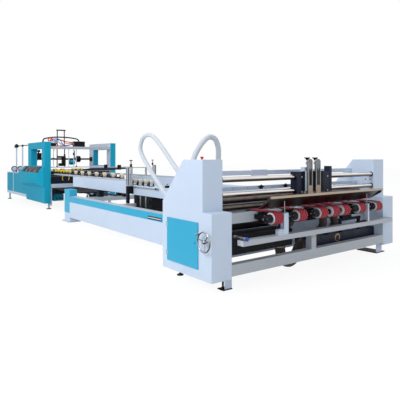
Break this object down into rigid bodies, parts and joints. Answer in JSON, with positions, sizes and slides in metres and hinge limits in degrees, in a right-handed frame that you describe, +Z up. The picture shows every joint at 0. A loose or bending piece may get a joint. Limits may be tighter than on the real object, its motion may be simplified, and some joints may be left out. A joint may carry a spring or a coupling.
{
  "type": "box folder gluer",
  "caption": "Box folder gluer line: board feeder with belts, gates and guide rods, long folding section with side beams, and a portal delivery unit.",
  "frame": {"origin": "centre of the footprint of the whole line, on the floor", "axes": "+Y along the feed from the feeder to the delivery unit, +Z up, +X across the line away from the operator side"},
  "size_m": [3.9, 13.925, 2.4],
  "materials": {
    "white_paint": "satin",
    "teal_paint": "satin",
    "chrome": "polished",
    "steel": "brushed",
    "crimson_rubber": "matte",
    "navy_paint": "satin",
    "dark_paint": "matte",
    "brown_hose": "matte",
    "white_hose": "matte",
    "yellow_roller": "matte",
    "black_cable": "matte"
  },
  "bodies": {
    "frame": {"operator_side_housing": "white_paint", "drive_side_housing": "white_paint", "rear_cross_beam": "white_paint", "back_stop_bar": "white_paint", "table_beam": "white_paint", "rear_cover": "white_paint", "lower_front_beam": "white_paint", "tail_support_rail": "white_paint", "near_side_frame": "white_paint", "far_side_frame": "white_paint", "cross_rail_1": "white_paint", "cross_rail_2": "white_paint", "cross_rail_3": "white_paint", "top_cross_beam": "white_paint", "lower_cross_beam": "white_paint", "rear_uprights": "white_paint", "near_portal": "teal_paint", "far_portal": "teal_paint", "console": "teal_paint", "lift_motor": "teal_paint", "upper_guide_rod": "chrome", "lower_guide_rod": "chrome", "tray": "steel", "rail_cylinder": "steel", "feed_belt_1": "crimson_rubber", "feed_belt_2": "crimson_rubber", "feed_belt_3": "crimson_rubber", "feed_belt_4": "crimson_rubber", "feed_belt_5": "crimson_rubber", "feed_belt_6": "crimson_rubber", "feed_belt_7": "crimson_rubber", "belt_drive_shaft": "dark_paint", "right_suction_box": "dark_paint", "transfer_plate": "dark_paint", "drive_box": "dark_paint", "press_shaft": "dark_paint", "press_carriage": "dark_paint", "belt_housing": "dark_paint", "switch_box": "dark_paint", "sensor_frame": "dark_paint", "delivery_bed": "dark_paint", "left_suction_box": "brown_hose", "suction_hose": "brown_hose", "front_air_hose": "white_hose", "rear_air_hose": "white_hose", "infeed_roller": "yellow_roller", "cable_bundle": "black_cable"},
    "door": {"operator_door": "teal_paint"},
    "wheel": {"handwheel": "chrome"},
    "left_carriage": {"carriage_left": "navy_paint"},
    "right_carriage": {"carriage_right": "navy_paint"},
    "left_gate": {"gate_left": "steel"},
    "right_gate": {"gate_right": "steel"},
    "upper_roll": {"upper_feed_roll": "steel"},
    "lower_roll": {"lower_feed_roll": "steel"},
    "near_beam": {"near_folding_beam": "white_paint", "near_roller_bank": "white_paint"},
    "far_beam": {"far_folding_beam": "white_paint", "far_folding_bar": "navy_paint"}
  },
  "joints": [
    {"name": "door_hinge", "type": "hinge", "parent": "frame", "child": "door", "pos_m": [-1.8395, -5.9065, 0.52], "axis": [0, 0, -1], "range_deg": [0, 110]},
    {"name": "wheel_turn", "type": "hinge", "parent": "frame", "child": "wheel", "pos_m": [-1.882, -6.7155, 0.595], "axis": [1, 0, 0], "continuous": true},
    {"name": "left_carriage_slide", "type": "slide", "parent": "frame", "child": "left_carriage", "axis": [1, 0, 0], "range_m": [-0.9, 0]},
    {"name": "right_carriage_slide", "type": "slide", "parent": "frame", "child": "right_carriage", "axis": [1, 0, 0], "range_m": [0, 0.9]},
    {"name": "left_gate_slide", "type": "slide", "parent": "left_carriage", "child": "left_gate", "axis": [0, 0, 1], "range_m": [-0.02, 0.12]},
    {"name": "right_gate_slide", "type": "slide", "parent": "right_carriage", "child": "right_gate", "axis": [0, 0, 1], "range_m": [-0.02, 0.12]},
    {"name": "upper_roll_turn", "type": "hinge", "parent": "frame", "child": "upper_roll", "pos_m": [0.37, -6.3675, 0.987], "axis": [1, 0, 0], "continuous": true},
    {"name": "lower_roll_turn", "type": "hinge", "parent": "frame", "child": "lower_roll", "pos_m": [0.37, -6.3675, 0.893], "axis": [1, 0, 0], "continuous": true},
    {"name": "near_beam_slide", "type": "slide", "parent": "frame", "child": "near_beam", "axis": [1, 0, 0], "range_m": [-0.15, 0.15]},
    {"name": "far_beam_slide", "type": "slide", "parent": "frame", "child": "far_beam", "axis": [1, 0, 0], "range_m": [-0.15, 0.15]}
  ],
  "couplings": [
    {"joint": "lower_roll_turn", "follows": "upper_roll_turn", "ratio": -1}
  ]
}
